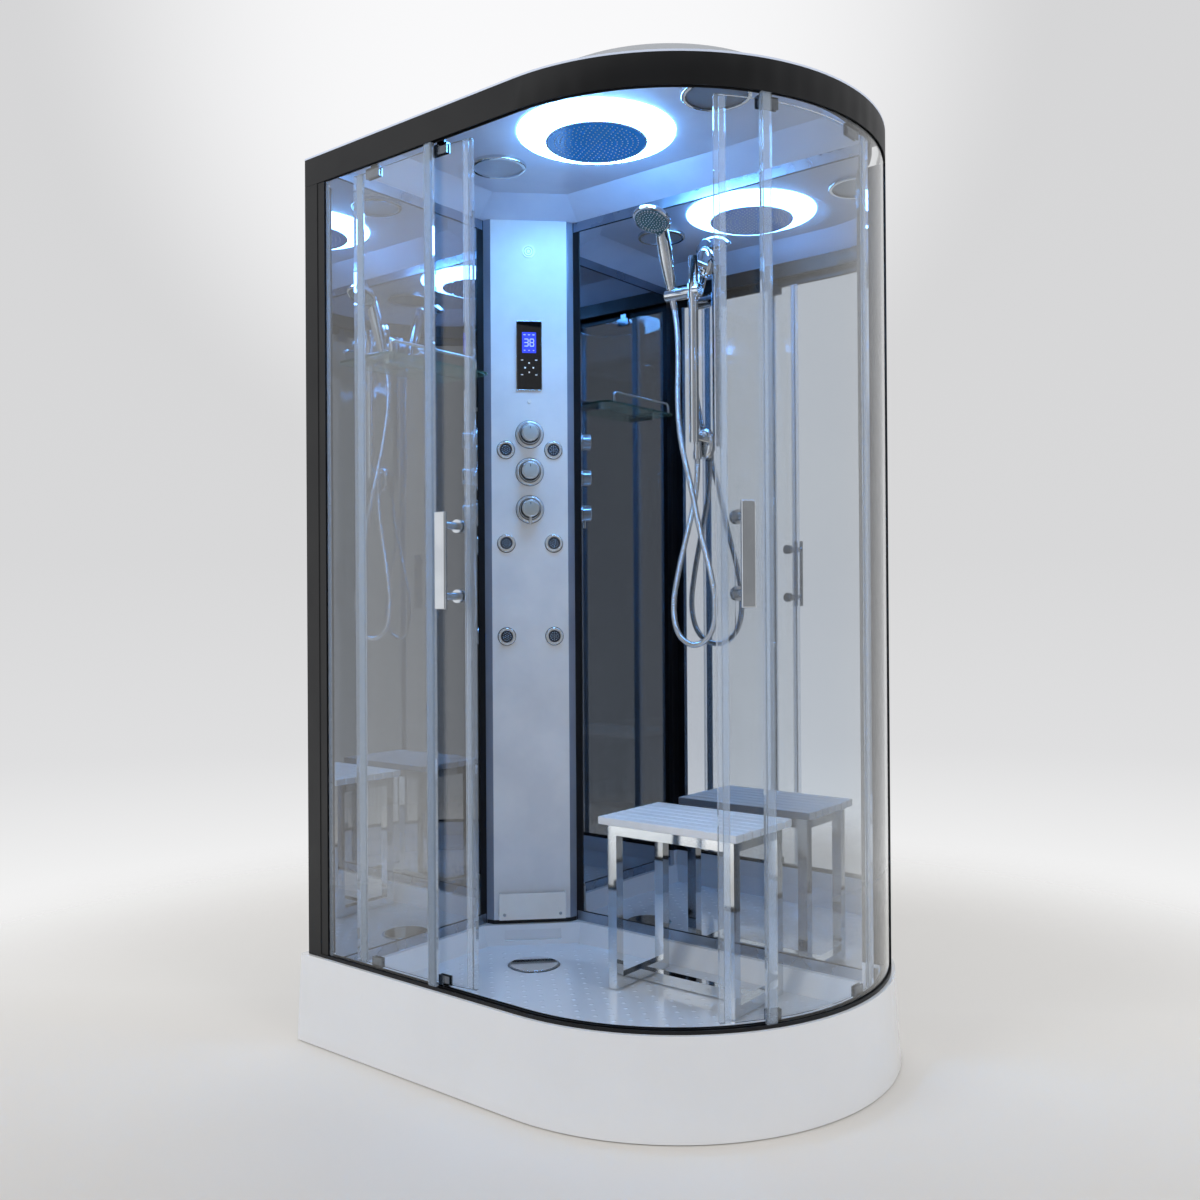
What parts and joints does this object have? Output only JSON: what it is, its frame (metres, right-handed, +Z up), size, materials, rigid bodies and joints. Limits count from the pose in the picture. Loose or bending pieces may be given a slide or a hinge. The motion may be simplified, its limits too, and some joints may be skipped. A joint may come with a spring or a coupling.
{
  "type": "steam shower cabin",
  "caption": "Offset-quadrant steam shower cabin with a deep tray, mirror-glass back, fittings column, sliding curved doors, lit ceiling, hand shower, glass shelf and stool.",
  "frame": {"origin": "on the floor under the middle levelling foot, at the middle of the tray's footprint", "axes": "+X along the long side, away from the fittings column, +Y towards the back wall, +Z up"},
  "size_m": [1.2, 0.8173, 2.15],
  "materials": {
    "white_acrylic": "gloss",
    "frame_steel": "satin",
    "foot_plastic": "matt",
    "grey_plastic": "matt",
    "chrome": "polished",
    "black_rail": "satin",
    "clear_glass": "polished",
    "clear_seal": "clear",
    "mirror_glass": "dark mirror",
    "satin_aluminium": "satin",
    "black_seal": "matt",
    "column_blue": "gloss",
    "back_panel_grey": "satin",
    "boiler_steel": "brushed",
    "black_gloss": "gloss",
    "display_blue": "gloss",
    "brass": "plain",
    "spray_grey": "matt",
    "spray_blue": "matt",
    "roof_grey": "satin",
    "light_diffuser": "frosted",
    "wheel_plastic": "matt",
    "stool_white": "satin"
  },
  "bodies": {
    "cabin": {"tray": "white_acrylic", "tray_frame": "frame_steel", "levelling_feet": "foot_plastic", "drain_trap": "grey_plastic", "bottom_track": "black_rail", "top_rail": "black_rail", "posts": "black_rail", "fixed_glass": "clear_glass", "fixed_seals": "clear_seal", "wall_panel_left": "mirror_glass", "wall_panel_back": "mirror_glass", "wall_rails": "satin_aluminium", "wall_seals": "black_seal", "tower_column": "column_blue", "tower_rear_cover": "back_panel_grey", "tower_base_trim": "black_seal", "steam_outlet_cover": "column_blue", "steam_generator": "boiler_steel", "control_panel": "black_gloss", "control_screen": "display_blue", "tower_badge": "chrome", "valve_manifold": "brass", "valve_escutcheons": "chrome", "jet_rings": "chrome", "jet_spray_plates": "spray_grey", "supply_pipes": "brass", "riser_bar": "chrome", "riser_brackets": "chrome", "shower_hose": "chrome", "shelf_glass": "clear_glass", "shelf_fittings": "chrome", "ceiling_shell": "white_acrylic", "roof_dome": "roof_grey", "light_diffuser": "light_diffuser", "led_ring": "light_diffuser", "rain_shower": "spray_grey", "downlight": "chrome", "speaker": "chrome"},
    "left_door": {"left_door_glass": "clear_glass", "left_door_seals": "clear_seal", "left_door_handle": "chrome", "left_door_hangers": "chrome"},
    "right_door": {"right_door_glass": "clear_glass", "right_door_seals": "clear_seal", "right_door_handle": "chrome", "right_door_hangers": "chrome"},
    "hand_shower": {"hand_shower": "chrome", "spray_face": "spray_blue"},
    "stool": {"stool_frame": "chrome", "stool_seat": "stool_white"},
    "left_wheel_trailing": {"left_wheel_trailing": "wheel_plastic"},
    "left_wheel_leading": {"left_wheel_leading": "wheel_plastic"},
    "right_wheel_leading": {"right_wheel_leading": "wheel_plastic"},
    "right_wheel_trailing": {"right_wheel_trailing": "wheel_plastic"},
    "flow_knob": {"flow_knob": "chrome"},
    "temperature_knob": {"temperature_knob": "chrome"},
    "diverter_knob": {"diverter_knob": "chrome"},
    "slider": {"slider": "chrome"},
    "shower_holder": {"shower_holder": "chrome"},
    "drain_cover": {"drain_cover": "chrome"}
  },
  "joints": [
    {"name": "left_door_slide", "type": "slide", "parent": "cabin", "child": "left_door", "axis": [1, 0, 0], "range_m": [0, 0.245]},
    {"name": "left_wheel_trailing_spin", "type": "hinge", "parent": "left_door", "child": "left_wheel_trailing", "pos_m": [-0.36, -0.34975, 2.0153], "axis": [0, 1, 0], "range_deg": [0, 1560]},
    {"name": "left_wheel_leading_spin", "type": "hinge", "parent": "left_door", "child": "left_wheel_leading", "pos_m": [-0.15226, -0.34945, 2.0153], "axis": [-0.0353, 0.9994, 0], "range_deg": [0, 1560]},
    {"name": "right_door_swing", "type": "hinge", "parent": "cabin", "child": "right_door", "pos_m": [0.076, 0.124, 0.2], "axis": [0, 0, -1], "range_deg": [0, 35]},
    {"name": "right_wheel_leading_spin", "type": "hinge", "parent": "right_door", "child": "right_wheel_leading", "pos_m": [0.48628, -0.11288, 2.0153], "axis": [0.866, -0.5, 0], "range_deg": [0, 1843]},
    {"name": "right_wheel_trailing_spin", "type": "hinge", "parent": "right_door", "child": "right_wheel_trailing", "pos_m": [0.54946, 0.10747, 2.0153], "axis": [0.9994, -0.0349, 0], "range_deg": [0, 1843]},
    {"name": "flow_knob_turn", "type": "hinge", "parent": "cabin", "child": "flow_knob", "pos_m": [-0.45714, 0.25714, 1.464], "axis": [0.7071, -0.7071, 0], "range_deg": [0, 180]},
    {"name": "temperature_knob_turn", "type": "hinge", "parent": "cabin", "child": "temperature_knob", "pos_m": [-0.45714, 0.25714, 1.363], "axis": [0.7071, -0.7071, 0], "range_deg": [-90, 90]},
    {"name": "diverter_knob_turn", "type": "hinge", "parent": "cabin", "child": "diverter_knob", "pos_m": [-0.45714, 0.25714, 1.262], "axis": [0.7071, -0.7071, 0], "range_deg": [-90, 90]},
    {"name": "slider_slide", "type": "slide", "parent": "cabin", "child": "slider", "axis": [0, 0, -1], "range_m": [0, 0.25], "deforming": ["shower_hose"]},
    {"name": "holder_tilt", "type": "hinge", "parent": "slider", "child": "shower_holder", "pos_m": [0.013, 0.3, 1.772], "axis": [1, 0, 0], "range_deg": [-10, 20], "deforming": ["shower_hose"]},
    {"name": "hand_shower_lift", "type": "slide", "parent": "shower_holder", "child": "hand_shower", "axis": [0, -0.2756, 0.9613], "range_m": [0, 0.08], "deforming": ["shower_hose"]},
    {"name": "drain_cover_lift", "type": "slide", "parent": "cabin", "child": "drain_cover", "axis": [0, 0, 1], "range_m": [0, 0.15]},
    {"name": "stool_lift", "type": "slide", "parent": "cabin", "child": "stool", "axis": [0, 0, 1], "range_m": [0, 0.3]}
  ],
  "couplings": [
    {"joint": "left_wheel_trailing_spin", "follows": "left_door_slide", "rad_per_m": 111.11},
    {"joint": "left_wheel_leading_spin", "follows": "left_door_slide", "rad_per_m": 111.11},
    {"joint": "right_wheel_leading_spin", "follows": "right_door_swing", "ratio": 52.639},
    {"joint": "right_wheel_trailing_spin", "follows": "right_door_swing", "ratio": 52.639}
  ]
}
